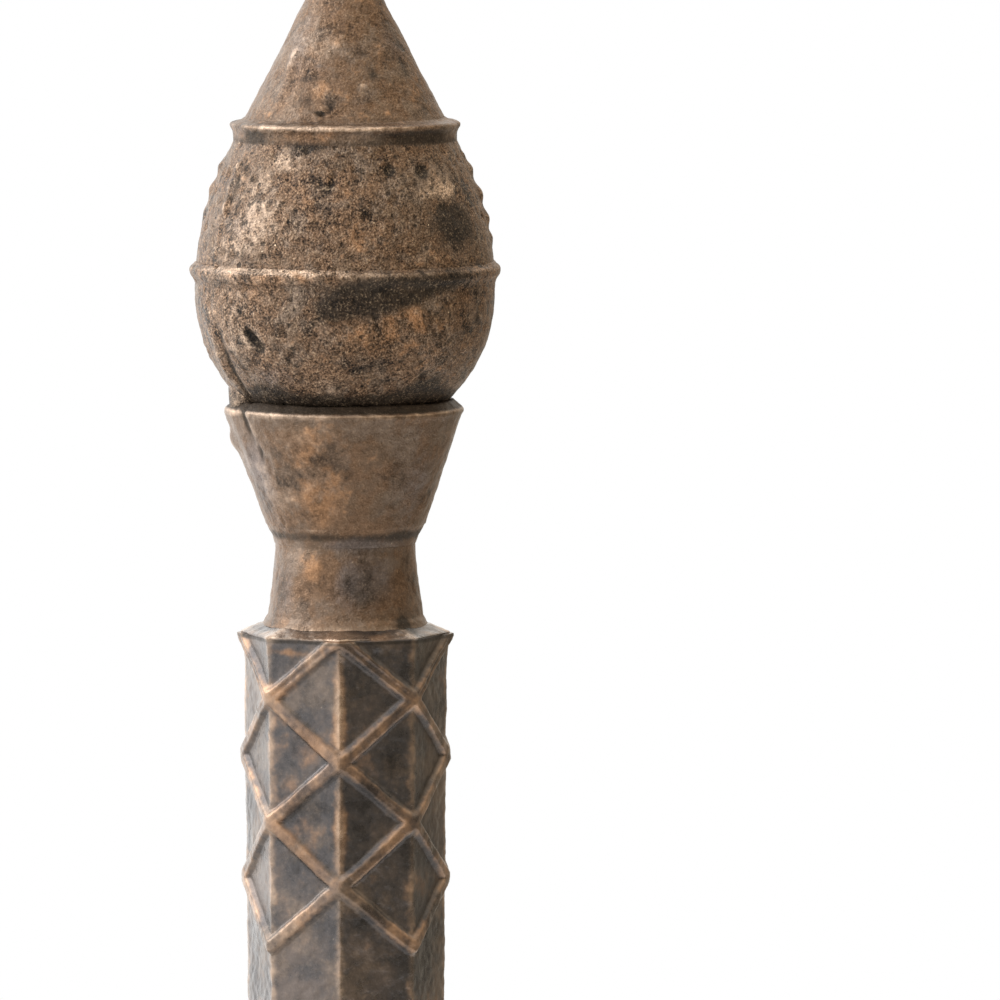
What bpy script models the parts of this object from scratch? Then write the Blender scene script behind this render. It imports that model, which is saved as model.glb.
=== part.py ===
"""Cast bronze model of a minaret, about 400 mm tall, standing on its own octagonal foot.

Units are metres, +Z is up, and the origin is the centre of the underside. The octagonal pieces have a corner
towards -Y, which is the front. Every piece is a solid casting with a spigot under it, and each spigot sits in
the socket on top of the piece below, so the whole model is one stack.
"""

import math

import bmesh
import bpy

MM = 0.001

# Joints between castings
GAP = 0.3 * MM
SPIGOT_RADIUS = 5.0 * MM
SPIGOT_LENGTH = 4.0 * MM
FINE_SPIGOT_RADIUS = 1.15 * MM
FINE_SPIGOT_LENGTH = 2.2 * MM
THIN_SPIGOT_RADIUS = 0.8 * MM
THIN_SPIGOT_LENGTH = 1.8 * MM

# Sides of the octagonal pieces, the round ones and the slender finial
EIGHT = 8
ROUND = 48
SLENDER = 24
HALF_SIDE_ANGLE = math.pi / EIGHT
FRONT = -math.pi / 2

# Foot: all radii of octagonal pieces are measured to their corners
SLAB_RADIUS = 36.0 * MM
SLAB_HEIGHT = 6.0 * MM
SLAB_CHAMFER = 1.2 * MM
STEP_RADIUS = 31.5 * MM
STEP_HEIGHT = 5.0 * MM
PLINTH_RADIUS = 26.0 * MM
PLINTH_HEIGHT = 17.0 * MM
PLINTH_FILLET = 1.6 * MM
CORNICE_RADIUS = 28.5 * MM
CORNICE_HEIGHT = 4.0 * MM
CORNICE_EDGE = 1.5 * MM
FOOT_RING_RADIUS = 21.8 * MM
FOOT_RING_HEIGHT = 5.0 * MM

# Shaft
SHAFT_END_RADIUS = 18.4 * MM
SHAFT_WAIST_RADIUS = 17.9 * MM
SHAFT_FLARE_RADIUS = 18.85 * MM
SHAFT_FLARE_HEIGHT = 5.0 * MM
SHAFT_LATTICE_SECTION = 65.0 * MM
SHAFT_PLAIN_SECTION = 26.0 * MM
CAP_RADIUS = 19.05 * MM
CAP_TOP_RADIUS = 16.0 * MM
CAP_EDGE_HEIGHT = 1.5 * MM
CAP_HEIGHT = 2.6 * MM

# Raised lattice on the shaft: one zigzag strip on each face, meeting the next one at the corners. The first
# crossing would be above the flared end, which cuts it.
HALF_BAY = 11.2 * MM
HALF_BAYS = 5
FIRST_CROSSING = 1.6 * MM
STRIP_WIDTH = 2.5 * MM
STRIP_RELIEF = 0.9 * MM
STRIP_ROOT = 0.6 * MM

# Neck and collar under the bulb
NECK_HEIGHT = 14.5 * MM
NECK_FOOT_RADIUS = 14.2 * MM
NECK_TOP_RADIUS = 12.65 * MM
NECK_FILLET = 0.5 * MM
COLLAR_FOOT_HEIGHT = 3.2 * MM
COLLAR_FOOT_RADIUS = 14.4 * MM
COLLAR_HEIGHT = 22.0 * MM
COLLAR_RIM_RADIUS = 21.4 * MM
COLLAR_RIM_EDGE = 0.8 * MM
COLLAR_LIP_BEVEL = 1.7 * MM

# Bulb: a round lower half, a belt, and an upper half drawn with a longer radius
BULB_RADIUS = 27.1 * MM
BULB_CENTRE_ABOVE_COLLAR = 19.5 * MM
BELT_RADIUS = 28.1 * MM
BELT_CENTRE_ABOVE_BULB_CENTRE = 3.3 * MM
BELT_HEIGHT = 3.6 * MM
SHOULDER_ARC_RADIUS = 52.2 * MM
RIM_ABOVE_BULB_CENTRE = 26.9 * MM
RIM_RADIUS = 20.7 * MM
RIM_HEIGHT = 3.8 * MM

# Spire
CONE_RADIUS = 18.0 * MM
CONE_TIP_RADIUS = 4.0 * MM
CONE_HEIGHT = 27.3 * MM

# Finial: heights of its beads, each profile is (share of height, radius)
BALL_HEIGHT = 13.8 * MM
BALL_RADIUS = 6.3 * MM
TEAR_HEIGHT = 25.4 * MM
TEAR_RADIUS = 6.65 * MM
TEAR_TIP_RADIUS = 1.8 * MM
DISC_HEIGHT = 6.5 * MM
DISC_RADIUS = 5.35 * MM
KNOB_STEM_HEIGHT = 4.0 * MM
KNOB_STEM_RADIUS = 2.05 * MM
KNOB_HEIGHT = 9.2 * MM
KNOB_RADIUS = 4.85 * MM
CRESCENT_FOOT_HEIGHT = 2.4 * MM
CRESCENT_FOOT_RADIUS = 3.0 * MM
CRESCENT_RADIUS = 10.7 * MM
CRESCENT_HOLE_RADIUS = 7.1 * MM
CRESCENT_HOLE_RISE = 2.4 * MM
CRESCENT_DEPTH = 3.6 * MM
CRESCENT_TIP_DEPTH = 1.6 * MM
CRESCENT_TIP_ANGLE = math.radians(13)
CRESCENT_STEPS = 44
CRESCENT_SECTION_SIDES = 8

# Colours, roughness and metallic value of the patinated bronze
BRONZE_METALLIC = 0.85
PALE_BRONZE = (0.30, 0.21, 0.15)
WARM_BRONZE = (0.24, 0.15, 0.10)
DARK_BRONZE = (0.13, 0.10, 0.085)


def clear_scene():
    for obj in list(bpy.data.objects):
        bpy.data.objects.remove(obj, do_unlink=True)


def bronze(name, colour, roughness):
    """A patinated bronze with its own name."""
    material = bpy.data.materials.new(name)
    material.use_nodes = True
    shader = material.node_tree.nodes["Principled BSDF"]
    shader.inputs["Base Color"].default_value = (*colour, 1.0)
    shader.inputs["Roughness"].default_value = roughness
    shader.inputs["Metallic"].default_value = BRONZE_METALLIC
    return material


def add_object(name, bm, material):
    """Turns a finished bmesh into a named object in the scene."""
    bmesh.ops.remove_doubles(bm, verts=bm.verts, dist=1e-7)
    bmesh.ops.recalc_face_normals(bm, faces=bm.faces)
    mesh = bpy.data.meshes.new(name)
    bm.to_mesh(mesh)
    bm.free()
    obj = bpy.data.objects.new(name, mesh)
    bpy.context.scene.collection.objects.link(obj)
    mesh.materials.append(material)
    return obj


def turned_mesh(outline, sides):
    """Spins a closed outline of (radius, height) points round Z; with eight sides it makes an octagonal piece."""
    bm = bmesh.new()
    verts = [
        bm.verts.new((radius * math.cos(FRONT), radius * math.sin(FRONT), height))
        for radius, height in outline
    ]
    on_axis = [radius == 0 for radius, _ in outline]
    edges = []
    for i, vert in enumerate(verts):
        following = (i + 1) % len(verts)
        if not (on_axis[i] and on_axis[following]):
            edges.append(bm.edges.new((vert, verts[following])))
    bmesh.ops.spin(
        bm,
        geom=verts + edges,
        cent=(0, 0, 0),
        axis=(0, 0, 1),
        angle=2 * math.pi,
        steps=sides,
    )
    bmesh.ops.remove_doubles(bm, verts=bm.verts, dist=1e-7)
    return bm


def turned(name, outline, sides, material):
    """One turned or octagonal casting, smooth if it is round."""
    obj = add_object(name, turned_mesh(outline, sides), material)
    if sides > EIGHT:
        obj.data.shade_smooth()
        obj.data.set_sharp_from_angle(angle=math.radians(35))
    return obj


def spigot_points(bottom, radius, length):
    """The end of an outline: the spigot under a piece whose underside is at height bottom."""
    return [(radius, bottom), (radius, bottom - length), (0, bottom - length)]


def socket_points(top, radius, length, sides=ROUND):
    """The start of an outline: the socket in a top face, wide enough to clear a spigot of this radius."""
    clear = radius + GAP
    if sides == EIGHT:
        clear /= math.cos(HALF_SIDE_ANGLE)
    return [(0, top - length - GAP), (clear, top - length - GAP), (clear, top)]


def section(name, bottom, profile, sides, material, below=True, spigot=None, socket=None):
    """A stacked casting: profile is its outer line from top to bottom as (radius, height above bottom)."""
    spigot = spigot or (SPIGOT_RADIUS, SPIGOT_LENGTH)
    socket = socket or (SPIGOT_RADIUS, SPIGOT_LENGTH)
    top = bottom + profile[0][1]
    outline = socket_points(top, *socket, sides)
    outline += [(radius, bottom + height) for radius, height in profile]
    outline += spigot_points(bottom, *spigot) if below else [(0, bottom)]
    turned(name, outline, sides, material)
    return top + GAP


def arc(centre_radius, centre_height, radius, start, end, steps):
    """Points (radius, height) along a circle arc, from angle start to angle end above the horizontal."""
    angles = [start + (end - start) * i / steps for i in range(steps + 1)]
    return [
        (centre_radius + radius * math.cos(a), centre_height + radius * math.sin(a))
        for a in angles
    ]


def base_slab(z, material):
    profile = [
        (SLAB_RADIUS - SLAB_CHAMFER, SLAB_HEIGHT),
        (SLAB_RADIUS, SLAB_HEIGHT - SLAB_CHAMFER),
        (SLAB_RADIUS, 0),
    ]
    return section("base_slab", z, profile, EIGHT, material, below=False)


def base_step(z, material):
    profile = [
        (STEP_RADIUS - SLAB_CHAMFER, STEP_HEIGHT),
        (STEP_RADIUS, STEP_HEIGHT - SLAB_CHAMFER),
        (STEP_RADIUS, 0),
    ]
    return section("base_step", z, profile, EIGHT, material)


def plinth(z, material):
    foot = PLINTH_RADIUS + PLINTH_FILLET
    profile = [
        (PLINTH_RADIUS, PLINTH_HEIGHT),
        (PLINTH_RADIUS, 2 * PLINTH_FILLET),
        (foot - PLINTH_FILLET / 2, PLINTH_FILLET / 2),
        (foot, 0),
    ]
    return section("plinth", z, profile, EIGHT, material)


def plinth_cornice(z, material):
    profile = [
        (CORNICE_RADIUS - SLAB_CHAMFER, CORNICE_HEIGHT),
        (CORNICE_RADIUS, CORNICE_HEIGHT - SLAB_CHAMFER / 2),
        (CORNICE_RADIUS, CORNICE_HEIGHT - CORNICE_EDGE),
        (PLINTH_RADIUS, 0),
    ]
    return section("plinth_cornice", z, profile, EIGHT, material)


def shaft_foot_ring(z, material):
    half = FOOT_RING_HEIGHT / 2
    profile = arc(FOOT_RING_RADIUS - half, half, half, math.pi / 2, -math.pi / 2, 6)
    return section("shaft_foot_ring", z, profile, EIGHT, material)


def shaft_radius(share):
    """Corner radius of a lattice section, share 0 at its plain end and 1 at its flared end."""
    height = share * SHAFT_LATTICE_SECTION
    radius = SHAFT_WAIST_RADIUS + (SHAFT_END_RADIUS - SHAFT_WAIST_RADIUS) * share
    flare_start = SHAFT_LATTICE_SECTION - SHAFT_FLARE_HEIGHT
    if height > flare_start:
        rise = (height - flare_start) / SHAFT_FLARE_HEIGHT
        radius += (SHAFT_FLARE_RADIUS - SHAFT_END_RADIUS) * rise**2
    return radius


def zigzag_outline():
    """Outline of the strip on one face: (share across the face, distance from the flared end)."""
    face_width = 2 * SHAFT_END_RADIUS * math.sin(HALF_SIDE_ANGLE)
    slope = HALF_BAY / face_width
    half = STRIP_WIDTH / math.cos(math.atan(slope)) / 2
    notch = half / HALF_BAY
    crossings = [k * HALF_BAY - FIRST_CROSSING for k in range(HALF_BAYS + 1)]
    right = [((FIRST_CROSSING + half) / HALF_BAY, 0)]
    left = [((FIRST_CROSSING - half) / HALF_BAY, 0)]
    for k in range(1, HALF_BAYS + 1):
        corner = k % 2
        inner = 1 - notch if corner else notch
        turning = [(corner, crossings[k] - half), (corner, crossings[k] + half)]
        inside = [(inner, crossings[k])]
        last = k == HALF_BAYS
        right += turning if corner else inside
        left += [] if last else (inside if corner else turning)
    return right + left[::-1]


def lattice_mesh(flared_end, direction):
    """The net of eight zigzag strips, rooted in the shaft; direction is +1 if the section hangs below its flared end."""
    bm = bmesh.new()
    outline = zigzag_outline()
    for face in range(EIGHT):
        ends = (face, face + 1) if face % 2 == 0 else (face + 1, face)
        rings = []
        for depth in (-STRIP_ROOT, STRIP_RELIEF / math.cos(HALF_SIDE_ANGLE)):
            ring = []
            for share, drop in outline:
                radius = shaft_radius(1 - drop / SHAFT_LATTICE_SECTION) + depth
                x, y = 0, 0
                for corner, weight in ((ends[0], 1 - share), (ends[1], share)):
                    angle = FRONT + corner * 2 * HALF_SIDE_ANGLE
                    x += weight * radius * math.cos(angle)
                    y += weight * radius * math.sin(angle)
                ring.append(bm.verts.new((x, y, flared_end - direction * drop)))
            rings.append(ring)
            bm.faces.new(ring)
        for i, (share, _) in enumerate(outline):
            j = (i + 1) % len(outline)
            if share in (0, 1) and outline[j][0] == share:
                continue
            bm.faces.new((rings[0][i], rings[0][j], rings[1][j], rings[1][i]))
    return bm


def lattice_section(name, z, material, flared_top):
    """A shaft section with the raised lattice fused to its faces."""
    shares = [0, 1 - SHAFT_FLARE_HEIGHT / SHAFT_LATTICE_SECTION, 0.97, 1]
    if flared_top:
        profile = [(shaft_radius(s), s * SHAFT_LATTICE_SECTION) for s in reversed(shares)]
        flared_end, direction = z + SHAFT_LATTICE_SECTION, 1
    else:
        profile = [(shaft_radius(s), (1 - s) * SHAFT_LATTICE_SECTION) for s in shares]
        flared_end, direction = z, -1
    top = section(name, z, profile, EIGHT, material)
    net = add_object(name + "_net", lattice_mesh(flared_end, direction), material)
    net.hide_render = True
    net.display_type = "WIRE"
    join = bpy.data.objects[name].modifiers.new("lattice", "BOOLEAN")
    join.operation = "UNION"
    join.object = net
    return top


def shaft_middle(z, material):
    profile = [(SHAFT_WAIST_RADIUS, SHAFT_PLAIN_SECTION), (SHAFT_WAIST_RADIUS, 0)]
    return section("shaft_middle", z, profile, EIGHT, material)


def shaft_cap(z, material):
    profile = [
        (CAP_TOP_RADIUS, CAP_HEIGHT),
        (CAP_RADIUS, CAP_EDGE_HEIGHT),
        (CAP_RADIUS, CAP_EDGE_HEIGHT / 2),
        (SHAFT_FLARE_RADIUS, 0),
    ]
    socket = (SPIGOT_RADIUS, SPIGOT_LENGTH / 2)
    return section("shaft_cap", z, profile, EIGHT, material, socket=socket)


def neck(z, material):
    """A waisted drum that widens towards the cap it stands on."""
    steps = 6
    rise = NECK_FOOT_RADIUS - NECK_TOP_RADIUS
    profile = []
    for i in range(steps + 1):
        share = 1 - i / steps
        profile.append((NECK_TOP_RADIUS + rise * (1 - share) ** 1.4, share * NECK_HEIGHT))
    profile[-1] = (NECK_FOOT_RADIUS + NECK_FILLET, 0)
    spigot = (SPIGOT_RADIUS, SPIGOT_LENGTH / 2)
    return section("neck", z, profile, ROUND, material, spigot=spigot)


def collar_foot(z, material):
    profile = [
        (COLLAR_FOOT_RADIUS, COLLAR_FOOT_HEIGHT),
        (COLLAR_FOOT_RADIUS - 1.1 * MM, COLLAR_FOOT_HEIGHT * 0.45),
        (NECK_TOP_RADIUS + 0.1 * MM, 0),
    ]
    socket = (SPIGOT_RADIUS, SPIGOT_LENGTH / 4)
    spigot = (SPIGOT_RADIUS, SPIGOT_LENGTH - GAP)
    return section("collar_foot", z, profile, ROUND, material, spigot=spigot, socket=socket)


def collar(z, material):
    profile = [
        (COLLAR_RIM_RADIUS - COLLAR_LIP_BEVEL, COLLAR_HEIGHT),
        (COLLAR_RIM_RADIUS, COLLAR_HEIGHT - COLLAR_LIP_BEVEL),
        (COLLAR_RIM_RADIUS - 0.1 * MM, COLLAR_HEIGHT - COLLAR_LIP_BEVEL - COLLAR_RIM_EDGE),
        (COLLAR_FOOT_RADIUS, 0),
    ]
    spigot = (SPIGOT_RADIUS, SPIGOT_LENGTH / 4)
    return section("collar", z, profile, ROUND, material, spigot=spigot)


def bulb_lower(z, material):
    """The round lower half of the bulb, cut level where it enters the collar and under the belt."""
    centre = BULB_CENTRE_ABOVE_COLLAR
    height = centre + BELT_CENTRE_ABOVE_BULB_CENTRE - BELT_HEIGHT / 2
    start = math.asin((height - centre) / BULB_RADIUS)
    end = -math.asin(centre / BULB_RADIUS)
    profile = arc(0, centre, BULB_RADIUS, start, end, 9)
    return section("bulb_lower", z, profile, ROUND, material)


def belt(z, material):
    half = BELT_HEIGHT / 2
    profile = [
        (BULB_RADIUS - 0.1 * MM, BELT_HEIGHT - GAP),
        (BELT_RADIUS - 0.3 * MM, half + 0.7 * MM),
        (BELT_RADIUS, half + 0.2 * MM),
        (BELT_RADIUS - 0.2 * MM, half - 0.5 * MM),
        (BULB_RADIUS, 0),
    ]
    socket = (SPIGOT_RADIUS, SPIGOT_LENGTH / 4)
    return section("belt", z, profile, ROUND, material, socket=socket)


def bulb_upper(z, centre_height, material):
    """The upper half, drawn in with a long radius up to the rim."""
    top = RIM_ABOVE_BULB_CENTRE
    bottom = z - centre_height
    start = math.asin(top / SHOULDER_ARC_RADIUS)
    end = math.asin(bottom / SHOULDER_ARC_RADIUS)
    inset = BULB_RADIUS - SHOULDER_ARC_RADIUS
    profile = arc(inset, centre_height - z, SHOULDER_ARC_RADIUS, start, end, 8)
    spigot = (SPIGOT_RADIUS, SPIGOT_LENGTH / 4)
    return section("bulb_upper", z, profile, ROUND, material, spigot=spigot)


def rim_ring(z, material):
    profile = [
        (CONE_RADIUS + 0.6 * MM, RIM_HEIGHT),
        (RIM_RADIUS - 0.3 * MM, RIM_HEIGHT - 0.6 * MM),
        (RIM_RADIUS, RIM_HEIGHT - 1.1 * MM),
        (RIM_RADIUS - 0.1 * MM, 1.2 * MM),
        (RIM_RADIUS - 0.4 * MM, 0),
    ]
    socket = (SPIGOT_RADIUS, SPIGOT_LENGTH / 4)
    return section("rim_ring", z, profile, ROUND, material, socket=socket)


def spire_cone(z, material):
    profile = [(CONE_TIP_RADIUS, CONE_HEIGHT), (CONE_RADIUS, 0)]
    spigot = (SPIGOT_RADIUS, SPIGOT_LENGTH / 4)
    socket = (FINE_SPIGOT_RADIUS, FINE_SPIGOT_LENGTH)
    return section("spire_cone", z, profile, ROUND, material, spigot=spigot, socket=socket)


def finial_bead(name, z, height, shape, material, spigot, socket):
    """A bead of the finial; shape is its outer line from top to bottom as (radius, share of height)."""
    profile = [(radius, share * height) for radius, share in shape]
    return section(name, z, profile, SLENDER, material, spigot=spigot, socket=socket)


def finial_ball(z, material):
    shape = [
        (0.57 * BALL_RADIUS, 1.0),
        (0.67 * BALL_RADIUS, 0.93),
        (0.91 * BALL_RADIUS, 0.78),
        (BALL_RADIUS, 0.62),
        (0.93 * BALL_RADIUS, 0.46),
        (0.76 * BALL_RADIUS, 0.30),
        (0.62 * BALL_RADIUS, 0.17),
        (0.59 * BALL_RADIUS, 0.0),
    ]
    joint = (FINE_SPIGOT_RADIUS, FINE_SPIGOT_LENGTH)
    return finial_bead("finial_ball", z, BALL_HEIGHT, shape, material, joint, joint)


def finial_teardrop(z, material):
    shape = [
        (TEAR_TIP_RADIUS, 1.0),
        (0.33 * TEAR_RADIUS, 0.87),
        (0.51 * TEAR_RADIUS, 0.68),
        (0.745 * TEAR_RADIUS, 0.50),
        (0.945 * TEAR_RADIUS, 0.38),
        (TEAR_RADIUS, 0.29),
        (0.87 * TEAR_RADIUS, 0.20),
        (0.70 * TEAR_RADIUS, 0.11),
        (0.54 * TEAR_RADIUS, 0.0),
    ]
    spigot = (FINE_SPIGOT_RADIUS, FINE_SPIGOT_LENGTH)
    socket = (THIN_SPIGOT_RADIUS, THIN_SPIGOT_LENGTH)
    return finial_bead("finial_teardrop", z, TEAR_HEIGHT, shape, material, spigot, socket)


def finial_disc(z, material):
    shape = [
        (0.42 * DISC_RADIUS, 1.0),
        (0.75 * DISC_RADIUS, 0.84),
        (0.97 * DISC_RADIUS, 0.74),
        (DISC_RADIUS, 0.66),
        (0.79 * DISC_RADIUS, 0.44),
        (0.54 * DISC_RADIUS, 0.20),
        (0.36 * DISC_RADIUS, 0.0),
    ]
    joint = (THIN_SPIGOT_RADIUS, THIN_SPIGOT_LENGTH)
    return finial_bead("finial_disc", z, DISC_HEIGHT, shape, material, joint, joint)


def finial_knob(z, material):
    height = KNOB_STEM_HEIGHT + KNOB_HEIGHT
    body = [
        (0.64 * KNOB_RADIUS, 1.0),
        (0.83 * KNOB_RADIUS, 0.75),
        (0.98 * KNOB_RADIUS, 0.50),
        (KNOB_RADIUS, 0.34),
        (0.92 * KNOB_RADIUS, 0.15),
        (0.66 * KNOB_RADIUS, 0.0),
    ]
    shape = [(radius, (KNOB_STEM_HEIGHT + share * KNOB_HEIGHT) / height) for radius, share in body]
    shape += [(KNOB_STEM_RADIUS, 0.85 * KNOB_STEM_HEIGHT / height), (KNOB_STEM_RADIUS, 0)]
    spigot = (THIN_SPIGOT_RADIUS, THIN_SPIGOT_LENGTH)
    socket = (FINE_SPIGOT_RADIUS, FINE_SPIGOT_LENGTH)
    return finial_bead("finial_knob", z, height, shape, material, spigot, socket)


def crescent_ring_mesh(centre_height):
    """The crescent: an eight-sided section swept between an outer circle and a raised inner one."""
    bm = bmesh.new()
    rings = []
    half_sweep = math.pi - CRESCENT_TIP_ANGLE
    for i in range(CRESCENT_STEPS + 1):
        angle = -half_sweep + 2 * half_sweep * i / CRESCENT_STEPS
        up = -math.cos(angle)
        side = math.sin(angle)
        hole = CRESCENT_HOLE_RISE * up + math.sqrt(
            CRESCENT_HOLE_RADIUS**2 - (CRESCENT_HOLE_RISE * side) ** 2
        )
        middle = (CRESCENT_RADIUS + hole) / 2
        half_width = (CRESCENT_RADIUS - hole) / 2
        tip_share = (1 + up) / 2
        half_depth = (CRESCENT_DEPTH + (CRESCENT_TIP_DEPTH - CRESCENT_DEPTH) * tip_share) / 2
        ring = []
        for k in range(CRESCENT_SECTION_SIDES):
            turn = 2 * math.pi * (k + 0.5) / CRESCENT_SECTION_SIDES
            distance = middle + half_width * math.cos(turn)
            depth = half_depth * math.sin(turn)
            ring.append(bm.verts.new((distance * side, depth, centre_height + distance * up)))
        rings.append(ring)
    for first, second in zip(rings, rings[1:]):
        for k in range(CRESCENT_SECTION_SIDES):
            following = (k + 1) % CRESCENT_SECTION_SIDES
            bm.faces.new((first[k], first[following], second[following], second[k]))
    bm.faces.new(rings[0])
    bm.faces.new(rings[-1])
    return bm


def crescent(z, material):
    """The crescent with the round foot that it stands on."""
    centre_height = z + CRESCENT_FOOT_HEIGHT + CRESCENT_RADIUS - 1.0 * MM
    add_object("crescent", crescent_ring_mesh(centre_height), material)
    foot_top = z + CRESCENT_FOOT_HEIGHT + 0.8 * MM
    outline = [
        (0, foot_top),
        (0.9 * CRESCENT_FOOT_RADIUS, foot_top),
        (CRESCENT_FOOT_RADIUS, z),
    ]
    outline += spigot_points(z, FINE_SPIGOT_RADIUS, FINE_SPIGOT_LENGTH)
    foot = turned("crescent_foot", outline, SLENDER, material)
    foot.hide_render = True
    foot.display_type = "WIRE"
    join = bpy.data.objects["crescent"].modifiers.new("foot", "BOOLEAN")
    join.operation = "UNION"
    join.object = foot


def main():
    clear_scene()
    pale = bronze("pale_patina_bronze", PALE_BRONZE, 0.5)
    warm = bronze("warm_patina_bronze", WARM_BRONZE, 0.5)
    dark = bronze("dark_patina_bronze", DARK_BRONZE, 0.45)
    z = base_slab(0, dark)
    z = base_step(z, dark)
    z = plinth(z, dark)
    z = plinth_cornice(z, dark)
    z = shaft_foot_ring(z, warm)
    z = lattice_section("shaft_lower", z, dark, flared_top=False)
    z = shaft_middle(z, dark)
    z = lattice_section("shaft_upper", z, dark, flared_top=True)
    z = shaft_cap(z, pale)
    z = neck(z, warm)
    z = collar_foot(z, warm)
    z = collar(z, warm)
    bulb_centre = z + BULB_CENTRE_ABOVE_COLLAR
    z = bulb_lower(z, warm)
    z = belt(z, pale)
    z = bulb_upper(z, bulb_centre, pale)
    z = rim_ring(z, warm)
    z = spire_cone(z, pale)
    z = finial_ball(z, warm)
    z = finial_teardrop(z, pale)
    z = finial_disc(z, warm)
    z = finial_knob(z, dark)
    crescent(z, warm)


main()
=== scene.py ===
"""Looks of the cast bronze minaret: each casting with its uneven, pitted and worn skin, in its own patina,
and the studio that it stands in. Lengths are metres, as in the frame, and MM stands for one millimetre. An
azimuth is in degrees from the front corner of the octagon, -Y, and grows towards +X.
"""

import math

import bpy
import numpy as np
from bpy.props import FloatProperty, FloatVectorProperty, PointerProperty
from mathutils import Euler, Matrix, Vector, noise


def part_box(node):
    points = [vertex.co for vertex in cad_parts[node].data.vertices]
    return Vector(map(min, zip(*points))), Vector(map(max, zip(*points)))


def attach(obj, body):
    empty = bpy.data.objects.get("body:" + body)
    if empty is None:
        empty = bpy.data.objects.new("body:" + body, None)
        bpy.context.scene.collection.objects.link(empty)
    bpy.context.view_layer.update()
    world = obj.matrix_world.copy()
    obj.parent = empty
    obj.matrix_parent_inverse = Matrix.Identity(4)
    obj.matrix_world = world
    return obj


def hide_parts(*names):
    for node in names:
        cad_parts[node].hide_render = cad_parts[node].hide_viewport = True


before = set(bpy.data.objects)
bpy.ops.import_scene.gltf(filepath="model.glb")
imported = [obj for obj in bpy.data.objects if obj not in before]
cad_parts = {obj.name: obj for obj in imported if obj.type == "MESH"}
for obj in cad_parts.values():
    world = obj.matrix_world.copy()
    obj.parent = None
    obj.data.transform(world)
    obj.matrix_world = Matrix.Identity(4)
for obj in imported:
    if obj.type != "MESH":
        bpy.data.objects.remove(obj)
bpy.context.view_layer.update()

bl_info = {
    "name": "Bronze minaret",
    "version": (1, 0, 0),
    "blender": (4, 5, 0),
    "location": "3D View > Sidebar > Minaret",
    "description": "Castings of a small bronze minaret with their patina, and a studio for them",
    "category": "Add Mesh",
}

MM = 0.001

# The castings from the ground up: each one stands on the one before it
STACK = (
    "base_slab",
    "base_step",
    "plinth",
    "plinth_cornice",
    "shaft_foot_ring",
    "shaft_lower",
    "shaft_middle",
    "shaft_upper",
    "shaft_cap",
    "neck",
    "collar_foot",
    "collar",
    "bulb_lower",
    "belt",
    "bulb_upper",
    "rim_ring",
    "spire_cone",
    "finial_ball",
    "finial_teardrop",
    "finial_disc",
    "finial_knob",
    "crescent",
)

# How far each casting is sunk into the one below it
SINK = 0.2 * MM

# Where the flat top of each casting starts, in mm from the axis, out of sight under the next one
HIDDEN_RADII = {
    "base_slab": 24,
    "base_step": 20,
    "plinth": 20,
    "plinth_cornice": 18,
    "shaft_foot_ring": 15,
    "shaft_middle": 15,
    "shaft_cap": 13,
    "neck": 11,
    "collar_foot": 11,
    "collar": 16,
    "bulb_lower": 25,
    "belt": 26,
    "bulb_upper": 18,
    "rim_ring": 17,
    "spire_cone": 1.5,
}

# Skin of the castings: the sizes of its waves, lumps and speckles, the spacing of its pores, bubbles and
# sparks, which are painted glints of single grains, how far from a joint a crest can be worn, and over how
# many points of the mesh a crest is judged
WAVE_SIZE = 8 * MM
LUMP_SIZE = 1.5 * MM
SPECKLE_SIZE = 1.2 * MM
PORE_SPACING = 2.1 * MM
BUBBLE_SPACING = 3.6 * MM
PAINTED_SPARK_SPACING = 2.9 * MM
JOINT_MARGIN = 1.3 * MM
CREST_PASSES = 8

# Meshes: how far apart their points are, how many steps an arc has, and from what angle an edge is sharp
ARC_STEPS = 60
SHARP_EDGE = math.radians(60)
FOOT_SPACING = 0.6 * MM
PLAIN_SPACING = 0.5 * MM
MOULDED_SPACING = 0.4 * MM
COLLAR_FOOT_SPACING = 0.35 * MM
BULB_SPACING = 0.42 * MM
RING_SPACING = 0.28 * MM
LIP_SPACING = 0.22 * MM
FINIAL_SPACING = 0.25 * MM
CRESCENT_FOOT_SPACING = 0.2 * MM

# The octagon, with its corners rounded by this share of its radius over this angle, rubbed bare and warm
EIGHT = 8
SIDE_ANGLE = 2 * math.pi / EIGHT
CORNER_ROUNDING = 0.0035
CORNER_ROUNDING_ANGLE = 0.022
CORNER_WEAR = 0.65
CORNER_WEAR_WIDTH = 1.3 * MM
CORNER_WARMTH = 0.6

# Foot. A bevel says how far in and how far down it goes. The moulding is (mm out from the wall of the plinth,
# mm up), and the undercut says how far in from the edge of the cornice and how far up it starts.
SLAB_INSET = 0.35 * MM
STEP_INSET = 0.1 * MM
FOOT_BEVEL = (1.3 * MM, 1.2 * MM)
SLAB_ROUNDING = 0.3 * MM
PLINTH_REACH = 1.6 * MM
PLINTH_MOULDING = ((0, 3.2), (0.3, 1.9), (0.9, 0.9), (1.6, 0.7), (1.6, 0))
CORNICE_BEVEL = (1.2 * MM, 0.6 * MM)
CORNICE_EDGE = 1.5 * MM
CORNICE_UNDERCUT = (1.0 * MM, 1.4 * MM)

# Lattice on the shaft: strips zigzag from corner to corner, half a bay of height on each face
HALF_BAY = 11.2 * MM
HALF_BAYS = 5
FIRST_CROSSING = 1.6 * MM
LATTICE_COLUMNS = 52
SHAFT_RADIUS = 18.4 * MM
SHAFT_WAIST_RADIUS = 17.9 * MM
SHAFT_FLARE_RADIUS = 18.85 * MM
SHAFT_FLARE_HEIGHT = 5.0 * MM

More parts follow.
